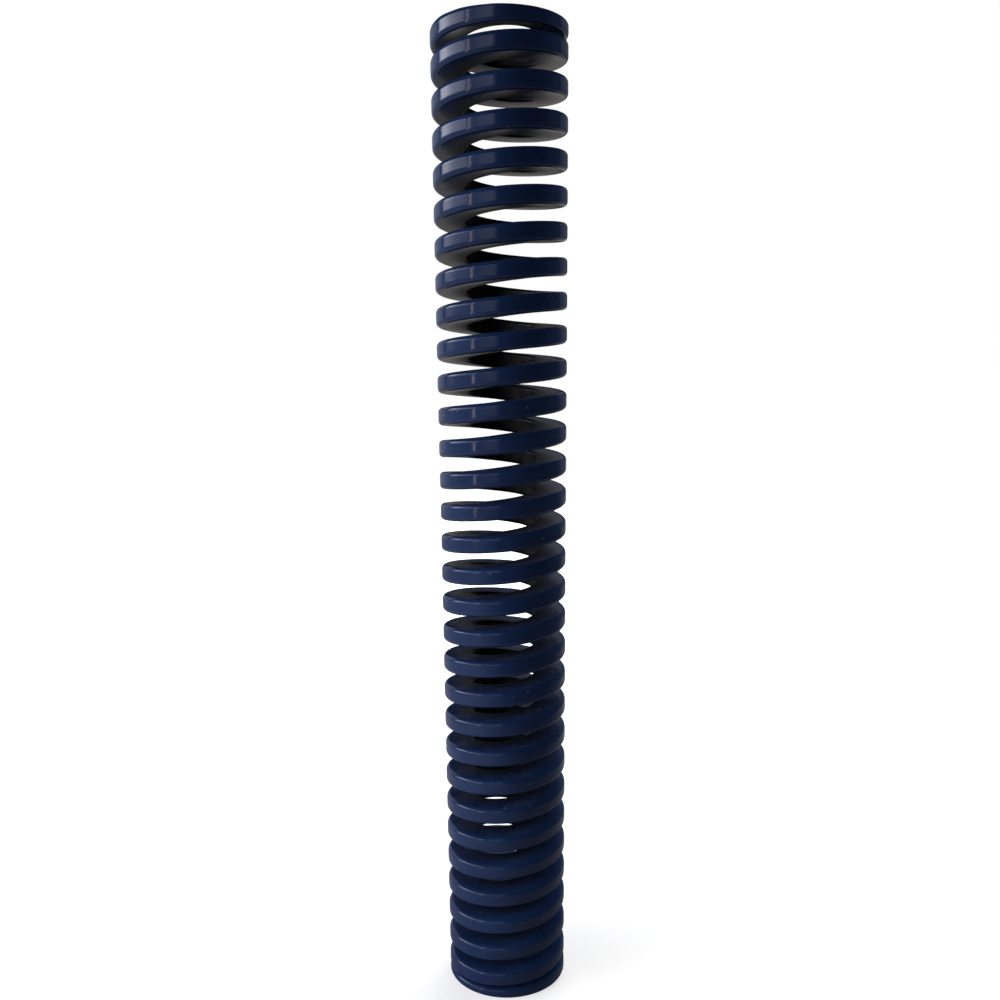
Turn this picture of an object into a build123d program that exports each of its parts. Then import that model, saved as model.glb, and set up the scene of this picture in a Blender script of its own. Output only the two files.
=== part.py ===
"""Heavy closed-and-ground die spring, coiled from rectangular wire with rounded outer corners.

Millimetres. Z is the spring's axis, up, and the lower ground end lies on z = 0.
The wire climbs anticlockwise seen from above, which makes a right-hand spring.
"""
import math
import os

from build123d import *
from build123d import SkipClean

# Driving sizes -------------------------------------------------------------------------
FREE_LENGTH = 300.0        # from ground end to ground end, with no load
OUTSIDE_DIAMETER = 39.8    # goes into a 40 mm pocket
INSIDE_DIAMETER = 21.0     # goes over a 20 mm rod
WIRE_HEIGHT = 5.35         # the wire's section along the axis
CORNER_BREAK = 0.8         # stands for the wire's rounded outer corners
COIL_COUNT = 31.79         # turns of wire from tip to tip
CLOSED_TURNS = 0.6         # end coil that lies against its neighbour
RAMP_TURNS = 1.15          # where the closed end opens to the full lead
CLOSED_GAP = 0.15          # what stays open between the closed coil and its neighbour
TIP_THICKNESS = 1.5        # what grinding leaves of the wire at its tip
TIP_ANGLE = 172.0          # where the lower tip stands, anticlockwise from +X
DISH = 1.8                 # most that the end coil's inner edge leans towards the ground face
DISH_TURNS = 1.1           # end coil over which that lean comes and goes
FACETS_PER_TURN = 26       # flats in one turn of the open coils
ROUND_TURNS = 0.92         # end coil with a true cylinder outside and in the bore
ROUND_STOPS = (0, 0.08, 0.2, 0.46, 1)    # the lengths it is made in, as shares of it

# Worked out from them ------------------------------------------------------------------
OUTER_RADIUS = OUTSIDE_DIAMETER / 2
BORE_RADIUS = INSIDE_DIAMETER / 2
CLOSED_LEAD = WIRE_HEIGHT + CLOSED_GAP
TIP_CENTRE = TIP_THICKNESS - WIRE_HEIGHT / 2
END_TURNS = CLOSED_TURNS + RAMP_TURNS / 2
RISE = FREE_LENGTH - 2 * TIP_CENTRE
OPEN_LEAD = (RISE - 2 * END_TURNS * CLOSED_LEAD) / (COIL_COUNT - 2 * END_TURNS)
STATIONS = round(COIL_COUNT * FACETS_PER_TURN)
ROUND_STATIONS = round(ROUND_TURNS * FACETS_PER_TURN)
TURN_PER_STATION = COIL_COUNT / STATIONS


def opened_turns(turns):
    """Turns of full lead that `turns` from a tip are worth; the ramp between eases in and out."""
    past = max(0.0, turns - CLOSED_TURNS)
    if past >= RAMP_TURNS:
        return past - RAMP_TURNS / 2
    share = past / RAMP_TURNS
    return RAMP_TURNS * (share ** 3 - share ** 4 / 2)


def wire_centre(turns):
    """Height of the wire's centre line, so many turns from the lower tip."""
    opened = opened_turns(turns) + opened_turns(COIL_COUNT) - opened_turns(COIL_COUNT - turns) - turns
    return TIP_CENTRE + CLOSED_LEAD * turns + (OPEN_LEAD - CLOSED_LEAD) * opened


def dish_at(turns):
    """The inner edge's lean, down at the lower end and up at the upper one."""
    lower, upper = (
        math.sin(math.pi * min(1.0, from_tip / DISH_TURNS)) ** 2 for from_tip in (turns, COIL_COUNT - turns)
    )
    return DISH * (upper - lower)


def wire_section(station, spare=0.0):
    """The corners of the wire's section, with `spare` left outside and in the bore for a round cut."""
    turns = station * TURN_PER_STATION
    angle = math.radians(TIP_ANGLE + 360 * turns)
    half = WIRE_HEIGHT / 2
    side = half - CORNER_BREAK - spare
    outline = [
        (BORE_RADIUS - spare, -half),
        (OUTER_RADIUS - CORNER_BREAK, -half),
        (OUTER_RADIUS + spare, -side),
        (OUTER_RADIUS + spare, side),
        (OUTER_RADIUS - CORNER_BREAK, half),
        (BORE_RADIUS - spare, half),
    ]
    middle = wire_centre(turns)
    lean = dish_at(turns) / (OUTER_RADIUS - BORE_RADIUS)
    heights = [middle + z + lean * (OUTER_RADIUS - r) for r, z in outline]
    return [Vector(r * math.cos(angle), r * math.sin(angle), height) for (r, _), height in zip(outline, heights)]


def flat(*corners):
    return Face(Wire.make_polygon(corners, close=True))


def skin_between(near, far):
    """Flat faces from one section to the next: upright sides whole, twisted ones as two triangles."""
    faces = []
    for side in range(len(near)):
        after = (side + 1) % len(near)
        a, b, c, d = near[side], near[after], far[after], far[side]
        upright = side in (2, 5)
        faces += [flat(a, b, c, d)] if upright else [flat(a, b, c), flat(a, c, d)]
    return faces


def coil(first, last, spare=0.0):
    """The wire from one station to another as one solid."""
    sections = [wire_section(station, spare) for station in range(first, last + 1)]
    faces = [flat(*sections[0]), flat(*sections[-1])]
    for near, far in zip(sections, sections[1:]):
        faces += skin_between(near, far)
    return Solid(Shell(faces))


def ground_end():
    """The lower end coil as lengths that grow from the tip, round in and out and ground flat on z = 0."""
    spare = 0.02 * OUTER_RADIUS
    envelope = Solid.make_cylinder(OUTER_RADIUS, FREE_LENGTH) - Solid.make_cylinder(BORE_RADIUS, FREE_LENGTH)
    stops = [round(share * ROUND_STATIONS) for share in ROUND_STOPS]
    return [(coil(a, b, spare) & envelope).solids()[0] for a, b in zip(stops, stops[1:])]


def upper_end(lower):
    """The upper end is the lower one turned over, half a turn about a level axis."""
    level = math.radians(TIP_ANGLE + 180 * COIL_COUNT)
    axis = Axis((0, 0, FREE_LENGTH / 2), (math.cos(level), math.sin(level), 0))
    return [length.rotate(axis, 180) for length in lower]


def spring_coil():
    lower = ground_end()
    open_coils = coil(ROUND_STATIONS, STATIONS - ROUND_STATIONS)
    with SkipClean():      # keeps each round length a face of its own
        return (open_coils + lower + upper_end(lower)).solids()[0]


os.makedirs("parts", exist_ok=True)
export_step(spring_coil(), "parts/spring_coil.step")
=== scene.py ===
"""A blue die spring standing on its ground end on a pale floor, lit from the left."""
import math

import bmesh
import bpy
import numpy as np
from mathutils import Matrix, Vector


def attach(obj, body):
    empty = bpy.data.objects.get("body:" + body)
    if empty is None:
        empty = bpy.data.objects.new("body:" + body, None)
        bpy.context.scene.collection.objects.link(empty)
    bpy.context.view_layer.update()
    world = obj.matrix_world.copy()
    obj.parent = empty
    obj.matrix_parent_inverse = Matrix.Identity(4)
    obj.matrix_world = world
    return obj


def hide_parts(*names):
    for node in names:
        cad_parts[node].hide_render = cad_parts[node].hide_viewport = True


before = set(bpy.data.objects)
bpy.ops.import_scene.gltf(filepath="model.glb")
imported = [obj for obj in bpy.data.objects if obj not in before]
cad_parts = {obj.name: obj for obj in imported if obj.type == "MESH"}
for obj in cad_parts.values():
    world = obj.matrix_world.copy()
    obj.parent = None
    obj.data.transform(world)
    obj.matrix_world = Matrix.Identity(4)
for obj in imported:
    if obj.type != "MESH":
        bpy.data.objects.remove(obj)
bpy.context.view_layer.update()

MM = 0.001

# The spring, in millimetres, as it is made ----------------------------------------------
FREE_LENGTH = 300.0
OUTER_RADIUS = 19.9
BORE_RADIUS = 10.5
WIRE_HEIGHT = 5.35
OUTER_CORNER = 1.35        # radius of the wire's rounded outer corners
BORE_CORNER = 0.9
COIL_COUNT = 31.79
CLOSED_TURNS = 0.6
RAMP_TURNS = 1.15
CLOSED_GAP = 0.15
TIP_THICKNESS = 1.5
TIP_ANGLE = 172.0
DISH = 1.8                 # most that the end coil's inner edge leans towards the ground face
DISH_TURNS = 1.1
STATIONS_PER_TURN = 96
CORNER_STEPS = 5
CORNER_LEAD_IN = 0.15      # narrow flat beside each corner arc
CRISP_EDGE = 35.0          # degrees between two faces, from which their edge is shaded crisp
MERGE_WITHIN = 1e-7        # metres; joins the points that grinding brings together

# Colours, as sRGB ------------------------------------------------------------------------
NAVY_PAINT = "1F345E"
BORE_PAINTED_SHADE = "10161F"     # painted shade: the paint darkened inside the bore, where shade falls
CHIP_STEEL = "5C6674"
FLOOR_PALE = "F2F2F2"
TABLE_TINT = "FBF6EE"
WHITE = "FFFFFF"
ROOM_DIM = "161619"        # what the spring sees of the room past the panels

# The paint, its patterns in millimetres --------------------------------------------------
PAINT_IOR = 1.5
FACE_ROUGHNESS = 0.14
BORE_ROUGHNESS = 0.4
BORE_SHADE_FULL = 0.5            # past the bore's wall, where the painted shade and the rougher paint start to clear
BORE_SHADE_CLEAR = 1.5           # short of the outer face, where it has cleared
CLOUD_SIZE = 14.0          # slow changes of the paint's tone
CLOUD_FROM = 0.3
CLOUD_TO = 0.7
TONE_DARK = 0.86
TONE_PALE = 1.14
CHIP_SIZE = 1.6
CHIP_FROM = 0.735          # high, so that only a few chips show
CHIP_TO = 0.76
DRAW_LINE_LENGTH = 30.0
DRAW_LINE_WIDTH = 0.6      # coarser than real draw lines, which would be too fine to show
DRAW_LINE_DEPTH = 0.04
DRAW_LINE_STRENGTH = 0.6
PEEL_SIZE = 9.0
PEEL_DEPTH = 0.05
PEEL_STRENGTH = 0.1

# Floor, its lengths in metres from the spring's foot --------------------------------------
FLOOR_REACH = 12.0
FLOOR_LIFT_NEAR = 0.52     # brings the lit floor up to white and leaves the shadow soft
FLOOR_LIFT_FAR = 1.0
FLOOR_LIFT_REACH = 0.5
TABLE_SHADY = 0.04         # to the spring, the floor is a table that glows less away from the light
TABLE_SUNNY = 0.32
TABLE_LIT_BEARING = 140.0
TABLE_SHADY_FROM = -0.25   # along the lit bearing
TABLE_SUNNY_FROM = 0.05
TABLE_REACH = 2.0          # how far the falloff below covers
# painted light on the table: dim within about a tenth of a metre of the foot as a painted contact shadow,
# brightest about a quarter metre out
TABLE_FALLOFF = ((0.0, 0.32), (0.06, 0.9), (0.12, 1.05), (0.25, 0.8), (0.5, 0.7), (0.65, 1.1), (1.0, 1.1))

# Panels, in metres; stops are (place, level), from 0 to 1 across or up a panel ------------
PANEL_DISTANCE = 1.2
PANEL_HEIGHT = 0.8
EVEN = ((0.0, 1.0), (1.0, 1.0))
WINDOW_ACROSS = ((0.0, 0.7), (0.13, 0.9), (0.24, 1.0), (0.34, 0.93), (0.5, 0.6), (0.72, 0.47), (1.0, 0.35))
WINDOW_UP = ((0.16, 0.05), (0.29, 0.10), (0.42, 0.17), (0.55, 0.4), (0.65, 0.77), (0.78, 1.0), (0.84, 0.85))
WINDOW_EDGE_ACROSS = ((0.0, 0.15), (0.3, 0.9), (0.5, 1.0), (0.7, 0.9), (1.0, 0.15))
PALE_WALL_ACROSS = (
    (0.0, 0.5), (0.18, 0.35), (0.3, 0.75), (0.36, 0.5), (0.44, 0.9), (0.52, 0.6),
    (0.6, 1.0), (0.68, 0.7), (0.78, 1.0), (0.92, 0.9), (1.0, 0.45),
)
PALE_WALL_UP = ((0.0, 0.4), (0.18, 0.45), (0.42, 0.6), (0.55, 0.8), (0.84, 1.0))

# Camera ----------------------------------------------------------------------------------
SENSOR_WIDTH = 36.0        # millimetres, as the lens
LENS = 34.84
SHIFT_ACROSS = -0.0040     # in widths of the frame
SHIFT_UP = 0.0881
NEAREST_SEEN = 0.01        # metres, as the place
CAMERA_PLACE = (0.0, -0.3055, 0.2043)
CAMERA_DIP = 0.2205        # radians below level
CAMERA_ROLL = -0.0088      # radians

# Sockets of a colour Mix node ------------------------------------------------------------
MIX_SHARE = 0
MIX_FIRST = 6
MIX_SECOND = 7
MIX_RESULT = 2


def linear(code):
    """sRGB hex to linear RGBA."""
    parts = [int(code[i:i + 2], 16) / 255 for i in (0, 2, 4)]
    return [c / 12.92 if c <= 0.04045 else ((c + 0.055) / 1.055) ** 2.4 for c in parts] + [1.0]


# Shader helper ---------------------------------------------------------------------------
def node(tree, kind, inputs=None, **settings):
    """Adds one node; inputs maps a socket's name or number to a value or to another socket."""
    made = tree.nodes.new(kind)
    for name, value in settings.items():
        setattr(made, name, value)
    for key, value in (inputs or {}).items():
        if isinstance(value, bpy.types.NodeSocket):
            tree.links.new(value, made.inputs[key])
        else:
            made.inputs[key].default_value = value
    return made


def ramp(tree, value, stops):
    """Straight runs from one (place, level) stop to the next."""
    made = node(tree, "ShaderNodeValToRGB", {"Fac": value})
    band = made.color_ramp
    band.interpolation = "LINEAR"
    while len(band.elements) < len(stops):
        band.elements.new(0.5)
    for element, (place, level) in zip(band.elements, stops):
        element.position = place
        element.color = (level, level, level, 1)
    return made.outputs["Color"]


def new_material(name):
    """A material whose node tree is empty."""
    material = bpy.data.materials.new(name)
    material.use_nodes = True
    material.node_tree.nodes.clear()
    return material


# The coil --------------------------------------------------------------------------------
def opened_turns(turns):
    """Turns of full lead that so many turns from a tip are worth.

    None in the closed coil. Over the ramp of R turns after it, R (s^3 - s^4 / 2) at the share s of
    the ramp, so that the lead eases in and out. Past the ramp, the turns past the closed coil less R / 2.
    """
    past = np.clip(turns - CLOSED_TURNS, 0, None)
    share = np.clip(past / RAMP_TURNS, 0, 1)
    eased = RAMP_TURNS * (share ** 3 - share ** 4 / 2)
    return eased + np.clip(past - RAMP_TURNS, 0, None)


def wire_centre(turns):
    """Height of the wire's centre line, so many turns from the lower tip.

    The height at the tip, plus the closed lead times the turns, plus what the open lead has over the
    closed one times the turns of full lead so far: those counted from the lower tip, less those that
    the upper end takes back.
    """
    end_turns = CLOSED_TURNS + RAMP_TURNS / 2
    closed_lead = WIRE_HEIGHT + CLOSED_GAP
    tip_centre = TIP_THICKNESS - WIRE_HEIGHT / 2
    rise = FREE_LENGTH - 2 * tip_centre
    open_lead = (rise - 2 * end_turns * closed_lead) / (COIL_COUNT - 2 * end_turns)
    opened = opened_turns(turns) + opened_turns(COIL_COUNT) - opened_turns(COIL_COUNT - turns) - turns
    return tip_centre + closed_lead * turns + (open_lead - closed_lead) * opened


def dish_at(turns):
    """The inner edge's lean, down at the lower end and up at the upper one.

    At t turns from a tip it is DISH times the squared sine of 180 t / DISH_TURNS degrees, and none
    from DISH_TURNS on.
    """
    lower, upper = (np.sin(np.pi * np.clip(t / DISH_TURNS, 0, 1)) ** 2 for t in (turns, COIL_COUNT - turns))
    return DISH * (upper - lower)


def wire_outline():
    """The wire's section as (radius, height) points: a rectangle whose corners are arcs.

    Each arc is a quarter circle whose centre stands its radius in from both sides of the corner. Two
    more points stand close to it on the flats, so that the flats stay flat when shaded.
    """
    half = WIRE_HEIGHT / 2
    points = []
    corners = (
        (OUTER_RADIUS, 1, -1, OUTER_CORNER, -90),
        (OUTER_RADIUS, 1, 1, OUTER_CORNER, 0),
        (BORE_RADIUS, -1, 1, BORE_CORNER, 90),
        (BORE_RADIUS, -1, -1, BORE_CORNER, 180),
    )
    for radius, outward, upward, corner, start in corners:
        centre_r = radius - outward * corner
        centre_z = upward * (half - corner)
        angles = np.radians(np.linspace(start, start + 90, CORNER_STEPS + 1))
        arc = np.stack([centre_r + corner * np.cos(angles), centre_z + corner * np.sin(angles)], 1)
        before = arc[0] - CORNER_LEAD_IN * np.array([-math.sin(angles[0]), math.cos(angles[0])])
        after = arc[-1] + CORNER_LEAD_IN * np.array([-math.sin(angles[-1]), math.cos(angles[-1])])
        points += [before, *arc, after]
    return np.array(points)


def coil_mesh():
    """The wire swept up the helix.

    Point (turn t, outline point r, z) stands at radius r, angle TIP_ANGLE + 360 t and height
    wire_centre(t) + z + dish_at(t) (R - r) / (R - B), with R and B the outer and bore radii, and
    grinding holds every height between 0 and the free length. The UV map holds metres along the
    wire and round its section.
    """
    turns = np.linspace(0, COIL_COUNT, round(COIL_COUNT * STATIONS_PER_TURN) + 1)
    outline = wire_outline()
    angle = np.radians(TIP_ANGLE + 360 * turns)[:, None]
    radius = outline[None, :, 0]
    lean = dish_at(turns)[:, None] / (OUTER_RADIUS - BORE_RADIUS)
    height = wire_centre(turns)[:, None] + outline[None, :, 1] + lean * (OUTER_RADIUS - radius)
    grid = np.stack([radius * np.cos(angle), radius * np.sin(angle), np.clip(height, 0, FREE_LENGTH)], -1)
    rows, ring = grid.shape[:2]
    row, step = np.meshgrid(np.arange(rows - 1), np.arange(ring), indexing="ij")
    beside = (step + 1) % ring
    quads = np.stack([row * ring + step, (row + 1) * ring + step,
                      (row + 1) * ring + beside, row * ring + beside], -1).reshape(-1, 4)
    tips = [list(range(ring)), list(range((rows - 1) * ring, rows * ring))]
    mesh = bpy.data.meshes.new("spring_coil_surface")
    mesh.from_pydata(grid.reshape(-1, 3) * MM, [], quads.tolist() + tips)

    along = turns * 2 * np.pi * OUTER_RADIUS * MM
    steps = np.linalg.norm(np.roll(outline, -1, 0) - outline, axis=1) * MM
    around = np.concatenate([[0], np.cumsum(steps)])
    u = np.stack([along[row], along[row + 1], along[row + 1], along[row]], -1)
    v = np.stack([around[step], around[step], around[step + 1], around[step + 1]], -1)
    uv = np.stack([u, v], -1).reshape(-1, 2)
    uv = np.concatenate([uv, np.zeros((2 * ring, 2))])
    mesh.uv_layers.new(name="wire").data.foreach_set("uv", uv.ravel())
    return mesh


def add_coil():
    """The wire as one closed piece, crisp only along the edges of its tips and ground faces."""
    mesh = coil_mesh()
    work = bmesh.new()
    work.from_mesh(mesh)
    bmesh.ops.remove_doubles(work, verts=work.verts, dist=MERGE_WITHIN)
    bmesh.ops.dissolve_degenerate(work, edges=work.edges, dist=MERGE_WITHIN)
    bmesh.ops.recalc_face_normals(work, faces=work.faces)
    for face in work.faces:
        face.smooth = True
    for edge in work.edges:
        edge.smooth = edge.calc_face_angle(0.0) < math.radians(CRISP_EDGE)
    work.to_mesh(mesh)
    work.free()
    coil = bpy.data.objects.new("painted_spring_coil", mesh)
    bpy.context.collection.objects.link(coil)
    return coil


# Materials -------------------------------------------------------------------------------
def paint_material():
    """Gloss navy enamel, sprayed on drawn spring wire.

    To the eye it is nearly black with sharp, bright reflections, which the wire's faint draw lines
    and the enamel's orange-peel skin make slightly uneven. Towards the bore it is rougher and darkened
    with painted shade, and a few small chips show the steel.
    """
    material = new_material("blue_paint")
    tree = material.node_tree
    coords = node(tree, "ShaderNodeTexCoord")
    place = coords.outputs["Object"]

    flat_place = node(tree, "ShaderNodeVectorMath", {0: place, 1: (1.0, 1.0, 0.0)}, operation="MULTIPLY")
    radius = node(tree, "ShaderNodeVectorMath", {0: flat_place.outputs[0]}, operation="LENGTH")
    outward = node(tree, "ShaderNodeMapRange", {
        "Value": radius.outputs["Value"],
        "From Min": (BORE_RADIUS + BORE_SHADE_FULL) * MM,
        "From Max": (OUTER_RADIUS - BORE_SHADE_CLEAR) * MM,
    })
    cloud = node(tree, "ShaderNodeTexNoise", {"Vector": place, "Scale": 1 / (CLOUD_SIZE * MM), "Detail": 4.0})
    tone = node(tree, "ShaderNodeMapRange", {
        "Value": cloud.outputs["Fac"],
        "From Min": CLOUD_FROM,
        "From Max": CLOUD_TO,
        "To Min": TONE_DARK,
        "To Max": TONE_PALE,
    })
    # painted shade: the navy fades to near-black towards the bore, where shade falls
    paint = node(tree, "ShaderNodeMix", {
        MIX_SHARE: outward.outputs["Result"],
        MIX_FIRST: linear(BORE_PAINTED_SHADE),
        MIX_SECOND: linear(NAVY_PAINT),
    }, data_type="RGBA")
    toned = node(tree, "ShaderNodeVectorMath", {
        0: paint.outputs[MIX_RESULT],
        "Scale": tone.outputs["Result"],
    }, operation="SCALE")

    grain = node(tree, "ShaderNodeTexNoise", {"Vector": place, "Scale": 1 / (CHIP_SIZE * MM), "Detail": 2.0})
    chips = node(tree, "ShaderNodeMapRange", {
        "Value": grain.outputs["Fac"],
        "From Min": CHIP_FROM,
        "From Max": CHIP_TO,
    })
    colour = node(tree, "ShaderNodeMix", {
        MIX_SHARE: chips.outputs["Result"],
        MIX_FIRST: toned.outputs[0],
        MIX_SECOND: linear(CHIP_STEEL),
    }, data_type="RGBA")

    gauge = node(tree, "ShaderNodeVectorMath", {
        0: coords.outputs["UV"],
        1: (1 / (DRAW_LINE_LENGTH * MM), 1 / (DRAW_LINE_WIDTH * MM), 1.0),
    }, operation="MULTIPLY")
    lines = node(tree, "ShaderNodeTexNoise", {"Vector": gauge.outputs[0], "Scale": 1.0, "Detail": 2.0})
    peel = node(tree, "ShaderNodeTexNoise", {"Vector": place, "Scale": 1 / (PEEL_SIZE * MM), "Detail": 2.0})
    drawn = node(tree, "ShaderNodeBump", {
        "Height": lines.outputs["Fac"],
        "Strength": DRAW_LINE_STRENGTH,
        "Distance": DRAW_LINE_DEPTH * MM,
    })
    bump = node(tree, "ShaderNodeBump", {
        "Height": peel.outputs["Fac"],
        "Normal": drawn.outputs["Normal"],
        "Strength": PEEL_STRENGTH,
        "Distance": PEEL_DEPTH * MM,
    })
    roughness = node(tree, "ShaderNodeMapRange", {
        "Value": outward.outputs["Result"],
        "To Min": BORE_ROUGHNESS,
        "To Max": FACE_ROUGHNESS,
    })
    shader = node(tree, "ShaderNodeBsdfPrincipled", {
        "Base Color": colour.outputs[MIX_RESULT],
        "Roughness": roughness.outputs["Result"],
        "IOR": PAINT_IOR,
        "Normal": bump.outputs["Normal"],
    })
    node(tree, "ShaderNodeOutputMaterial", {"Surface": shader.outputs[0]})
    return material


def floor_material():
    """White to the camera, with the spring's shadow on it, and a table lit from one side to the spring."""
    material = new_material("pale_floor")
    tree = material.node_tree
    seen = node(tree, "ShaderNodeLightPath").outputs["Is Camera Ray"]
    place = node(tree, "ShaderNodeTexCoord").outputs["Object"]
    from_foot = node(tree, "ShaderNodeVectorMath", {0: place}, operation="LENGTH").outputs["Value"]

    diffuse = node(tree, "ShaderNodeBsdfDiffuse", {"Color": linear(FLOOR_PALE)})
    lift = node(tree, "ShaderNodeMapRange", {
        "Value": from_foot,
        "From Max": FLOOR_LIFT_REACH,
        "To Min": FLOOR_LIFT_NEAR,
        "To Max": FLOOR_LIFT_FAR,
    })
    white = node(tree, "ShaderNodeEmission", {"Color": linear(WHITE), "Strength": lift.outputs["Result"]})
    pale = node(tree, "ShaderNodeAddShader", {0: diffuse.outputs[0], 1: white.outputs[0]})

    lit = math.radians(TABLE_LIT_BEARING)
    side = node(tree, "ShaderNodeVectorMath", {
        0: place,
        1: (math.cos(lit), math.sin(lit), 0),
    }, operation="DOT_PRODUCT")
    glow = node(tree, "ShaderNodeMapRange", {
        "Value": side.outputs["Value"],
        "From Min": TABLE_SHADY_FROM,
        "From Max": TABLE_SUNNY_FROM,
        "To Min": TABLE_SHADY,
        "To Max": TABLE_SUNNY,
    })
    share = node(tree, "ShaderNodeMath", {0: from_foot, 1: 1 / TABLE_REACH}, operation="MULTIPLY")
    falloff = ramp(tree, share.outputs[0], TABLE_FALLOFF)
    level = node(tree, "ShaderNodeMath", {0: glow.outputs["Result"], 1: falloff}, operation="MULTIPLY")
    table = node(tree, "ShaderNodeEmission", {"Color": linear(TABLE_TINT), "Strength": level.outputs[0]})
    both = node(tree, "ShaderNodeMixShader", {0: seen, 1: table.outputs[0], 2: pale.outputs[0]})
    node(tree, "ShaderNodeOutputMaterial", {"Surface": both.outputs[0]})
    return material


def add_floor():
    """A level square, centred on the spring's foot."""
    mesh = bpy.data.meshes.new("floor")
    corners = [(x * FLOOR_REACH, y * FLOOR_REACH, 0) for x, y in ((-1, -1), (1, -1), (1, 1), (-1, 1))]
    mesh.from_pydata(corners, [], [(0, 1, 2, 3)])
    floor = bpy.data.objects.new("floor", mesh)
    bpy.context.collection.objects.link(floor)
    mesh.materials.append(floor_material())


def set_world():
    """White to the camera and a dim grey room to the spring."""
    world = bpy.data.worlds.new("room")
    bpy.context.scene.world = world
    world.use_nodes = True
    tree = world.node_tree
    tree.nodes.clear()
    seen = node(tree, "ShaderNodeLightPath").outputs["Is Camera Ray"]
    colour = node(tree, "ShaderNodeMix", {
        MIX_SHARE: seen,
        MIX_FIRST: linear(ROOM_DIM),
        MIX_SECOND: linear(WHITE),
    }, data_type="RGBA")
    glow = node(tree, "ShaderNodeBackground", {"Color": colour.outputs[MIX_RESULT], "Strength": 1.0})
    node(tree, "ShaderNodeOutputWorld", {"Surface": glow.outputs[0]})


# Lights ----------------------------------------------------------------------------------
def panel_mesh(name, bearing, distance, low, high, width):
    """An upright rectangle that faces the spring's axis; its UV runs 0 to 1 across and up."""
    turn = math.radians(bearing)
    middle = Vector((distance * math.cos(turn), distance * math.sin(turn), 0))
    across = Vector((-math.sin(turn), math.cos(turn), 0)) * width / 2
    corners = [middle - across, middle + across]
    points = [(*corners[i].xy, z) for i, z in ((0, low), (1, low), (1, high), (0, high))]
    mesh = bpy.data.meshes.new(name)
    mesh.from_pydata(points, [], [(0, 3, 2, 1)])
    layer = mesh.uv_layers.new(name="across_up")
    layer.data.foreach_set("uv", [0, 0, 0, 1, 1, 1, 1, 0])
    panel = bpy.data.objects.new(name, mesh)
    bpy.context.collection.objects.link(panel)
    panel.visible_camera = False
    panel.visible_shadow = False
    return panel


def add_panel(name, bearing, width, radiance, tint, across=EVEN, up=EVEN, distance=PANEL_DISTANCE,
              low=0.0, high=PANEL_HEIGHT, mirrored=True):
    """A panel that glows towards the spring only, as its across and up stops say.

    It stands for a window, a wall or a lit patch of the table. One that isn't mirrored lights the
    spring without showing in the paint.
    """
    panel = panel_mesh(name, bearing, distance, low, high, width)
    panel.visible_glossy = mirrored
    material = new_material(name)
    tree = material.node_tree
    place = node(tree, "ShaderNodeSeparateXYZ", {0: node(tree, "ShaderNodeTexCoord").outputs["UV"]})
    pattern = node(tree, "ShaderNodeMath", {
        0: ramp(tree, place.outputs["X"], across),
        1: ramp(tree, place.outputs["Y"], up),
    }, operation="MULTIPLY")
    level = node(tree, "ShaderNodeMath", {0: pattern.outputs[0], 1: radiance}, operation="MULTIPLY")
    behind = node(tree, "ShaderNodeNewGeometry").outputs["Backfacing"]
    glow = node(tree, "ShaderNodeEmission", {"Color": linear(tint), "Strength": level.outputs[0]})
    clear = node(tree, "ShaderNodeBsdfTransparent")
    both = node(tree, "ShaderNodeMixShader", {0: behind, 1: glow.outputs[0], 2: clear.outputs[0]})
    node(tree, "ShaderNodeOutputMaterial", {"Surface": both.outputs[0]})
    panel.data.materials.append(material)


def add_daylight(bearing, height, strength, spread):
    """Soft, even daylight from one side; bearing, height and spread are in degrees."""
    sun = bpy.data.lights.new("daylight", "SUN")
    sun.energy = strength
    sun.angle = math.radians(spread)
    turn, rise = math.radians(bearing), math.radians(height)
    away = Vector((math.cos(turn) * math.cos(rise), math.sin(turn) * math.cos(rise), math.sin(rise)))
    lamp = bpy.data.objects.new("daylight", sun)
    lamp.matrix_world = away.to_track_quat("Z", "Y").to_matrix().to_4x4()
    lamp.visible_glossy = False
    bpy.context.collection.objects.link(lamp)


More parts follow.
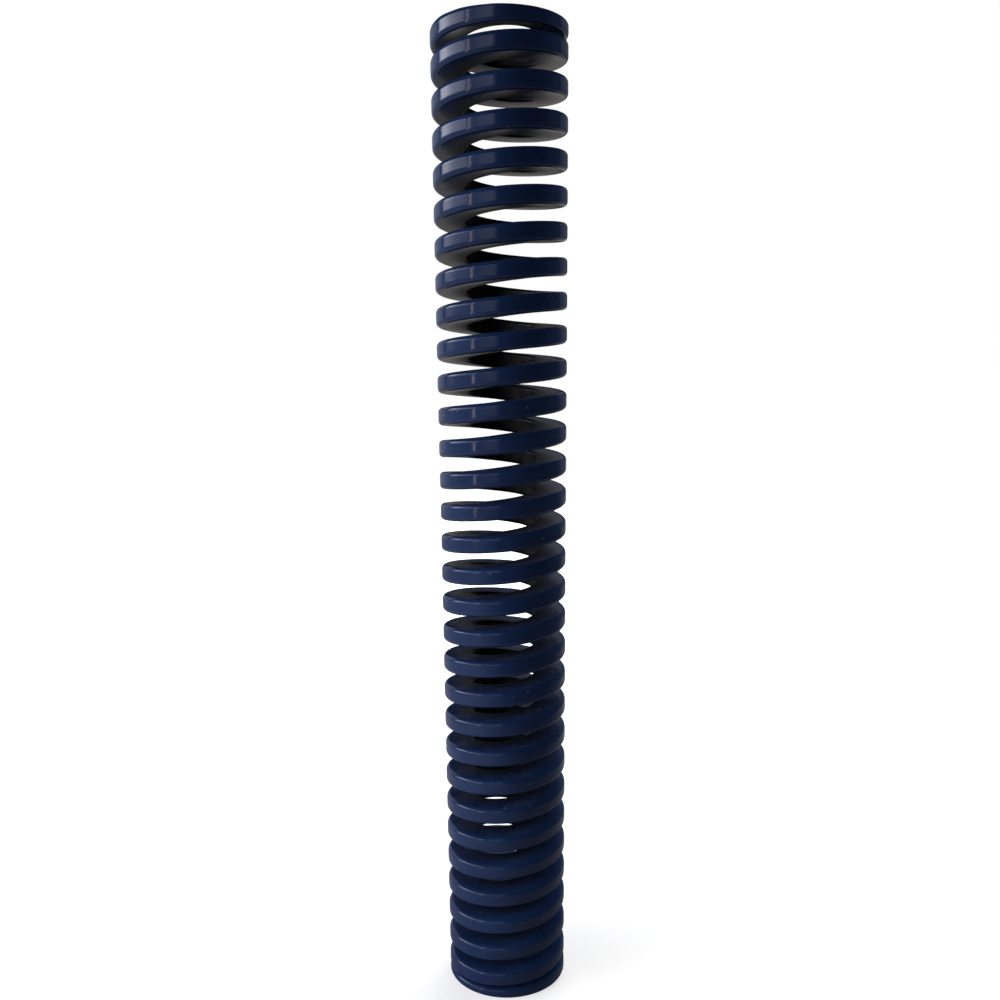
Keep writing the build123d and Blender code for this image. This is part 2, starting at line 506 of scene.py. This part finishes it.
def add_lights():
    """The window, its edge and the walls that the paint mirrors, then the light that only fills."""
    add_panel("window", bearing=184.5, width=1.32, radiance=5.7, tint="F6F6FF",
              across=WINDOW_ACROSS, up=WINDOW_UP)
    add_panel("window_edge", bearing=218.5, width=0.06, radiance=6.0, tint="FFEDE8",
              across=WINDOW_EDGE_ACROSS)
    add_panel("pale_wall", bearing=242, width=0.87, radiance=0.95, tint="EEF2FF",
              across=PALE_WALL_ACROSS, up=PALE_WALL_UP)
    add_panel("left_wall", bearing=128, width=0.85, radiance=0.42, tint="EEF0FF")
    add_panel("right_wall", bearing=50, width=0.8, radiance=0.12, tint=WHITE)
    add_panel("back_fill", bearing=90, width=0.8, radiance=0.2, tint=WHITE, low=0.5, high=1.2)
    add_panel("back_light", bearing=75, width=1.4, radiance=5.5, tint=WHITE,
              low=0.2, high=1.0, mirrored=False)
    add_panel("right_light", bearing=20, width=1.0, radiance=2.5, tint=WHITE,
              low=0.2, high=1.0, mirrored=False)
    add_panel("table_glow", bearing=212, width=0.2, radiance=1.25, tint="F4F6FF",
              distance=0.17, low=0.02, high=0.13, mirrored=False)
    add_daylight(bearing=200, height=14, strength=1.15, spread=30)


# View ------------------------------------------------------------------------------------
def add_camera():
    """A close, slightly downward view with a wide lens, whose frame is shifted up along the spring."""
    camera = bpy.data.cameras.new("camera")
    camera.sensor_width = SENSOR_WIDTH
    camera.lens = LENS
    camera.shift_x = SHIFT_ACROSS
    camera.shift_y = SHIFT_UP
    camera.clip_start = NEAREST_SEEN
    view = bpy.data.objects.new("camera", camera)
    tilt = Matrix.Rotation(math.pi / 2 - CAMERA_DIP, 4, "X")
    roll = Matrix.Rotation(CAMERA_ROLL, 4, "Z")
    view.matrix_world = Matrix.Translation(CAMERA_PLACE) @ tilt @ roll
    bpy.context.collection.objects.link(view)
    bpy.context.scene.camera = view


coil = add_coil()
coil.data.materials.append(paint_material())
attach(coil, "root")
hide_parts("spring_coil")

add_floor()
set_world()
add_lights()
add_camera()
bpy.context.scene.view_settings.view_transform = "Standard"
